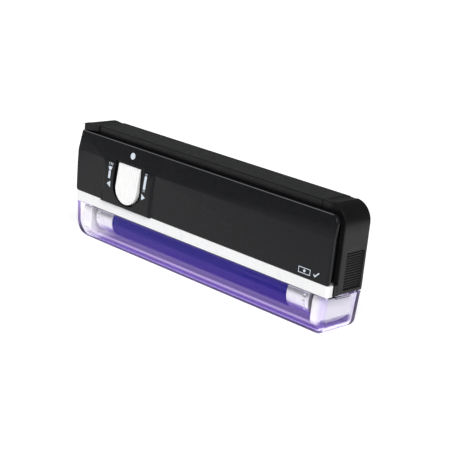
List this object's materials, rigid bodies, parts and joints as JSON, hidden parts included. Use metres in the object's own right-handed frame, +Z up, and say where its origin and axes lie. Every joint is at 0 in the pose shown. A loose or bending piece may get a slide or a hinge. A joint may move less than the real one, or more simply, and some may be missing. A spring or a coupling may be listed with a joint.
{
  "type": "counterfeit bill detector",
  "caption": "Handheld ultraviolet banknote detector with a tube lamp in a clear cover, a sliding knob, an end torch and a hinged battery cover.",
  "frame": {"origin": "middle of the lamp cover's flat underside, on which the detector stands", "axes": "+X along the lamp towards the ribbed grip end, +Y from the switch panel to the back, +Z up"},
  "size_m": [0.1615, 0.0239, 0.0545],
  "materials": {
    "case_plastic": "satin",
    "panel_plastic": "satin",
    "white_plastic": "satin",
    "clear_plastic": "clear",
    "lamp_glass": "gloss",
    "aluminium": "brushed",
    "brass": "satin",
    "nickel": "satin",
    "steel": "satin",
    "board": "satin",
    "dark_part": "satin",
    "ferrite": "matte",
    "copper": "satin",
    "capacitor_sleeve": "gloss",
    "resistor_body": "satin",
    "battery_sleeve": "gloss",
    "chrome": "mirror",
    "lens_plastic": "clear",
    "red_wire": "satin",
    "black_wire": "satin"
  },
  "bodies": {
    "lamp_shield": {"lamp_cover": "clear_plastic"},
    "case": {"battery_1": "battery_sleeve", "battery_2": "battery_sleeve", "battery_3": "battery_sleeve", "battery_4": "battery_sleeve", "battery_bridge": "nickel", "battery_plate_negative": "nickel", "battery_plate_positive": "nickel", "battery_spring_left": "nickel", "battery_spring_right": "nickel", "battery_wire_negative": "black_wire", "battery_wire_positive": "red_wire", "case_screw_1": "steel", "case_screw_2": "steel", "case_screw_3": "steel", "case_screw_4": "steel", "circuit_board": "board", "electrolytic_capacitor_1": "capacitor_sleeve", "electrolytic_capacitor_2": "capacitor_sleeve", "film_capacitor": "resistor_body", "front_cover": "panel_plastic", "lamp_cap_left": "aluminium", "lamp_cap_right": "aluminium", "lamp_contact_left_lower": "brass", "lamp_contact_left_upper": "brass", "lamp_contact_right_lower": "brass", "lamp_contact_right_upper": "brass", "lamp_pin_left_lower": "brass", "lamp_pin_left_upper": "brass", "lamp_pin_right_lower": "brass", "lamp_pin_right_upper": "brass", "lamp_socket_left": "white_plastic", "lamp_socket_right": "white_plastic", "lamp_tube": "lamp_glass", "lamp_wire_left": "black_wire", "lamp_wire_right": "red_wire", "power_transistor": "dark_part", "rear_case": "case_plastic", "reflector": "white_plastic", "resistor_1": "resistor_body", "resistor_2": "resistor_body", "slide_switch_body": "nickel", "torch_led": "lens_plastic", "torch_lens": "lens_plastic", "torch_reflector": "chrome", "transformer_core": "ferrite", "transformer_winding": "copper"},
    "switch": {"switch_knob": "white_plastic", "switch_carriage": "dark_part", "slide_switch_lever": "dark_part"},
    "battery_door": {"battery_cover": "case_plastic"}
  },
  "joints": [
    {"name": "switch_slide", "type": "slide", "parent": "case", "child": "switch", "axis": [1, 0, 0], "range_m": [-0.002, 0.002]},
    {"name": "battery_cover_hinge", "type": "hinge", "parent": "case", "child": "battery_door", "pos_m": [0, 0.009, 0.025], "axis": [-1, 0, 0], "range_deg": [0, 90]},
    {"name": "case_lift_off", "type": "slide", "parent": "lamp_shield", "child": "case", "axis": [0, 0, 1], "range_m": [0, 0.025]}
  ]
}
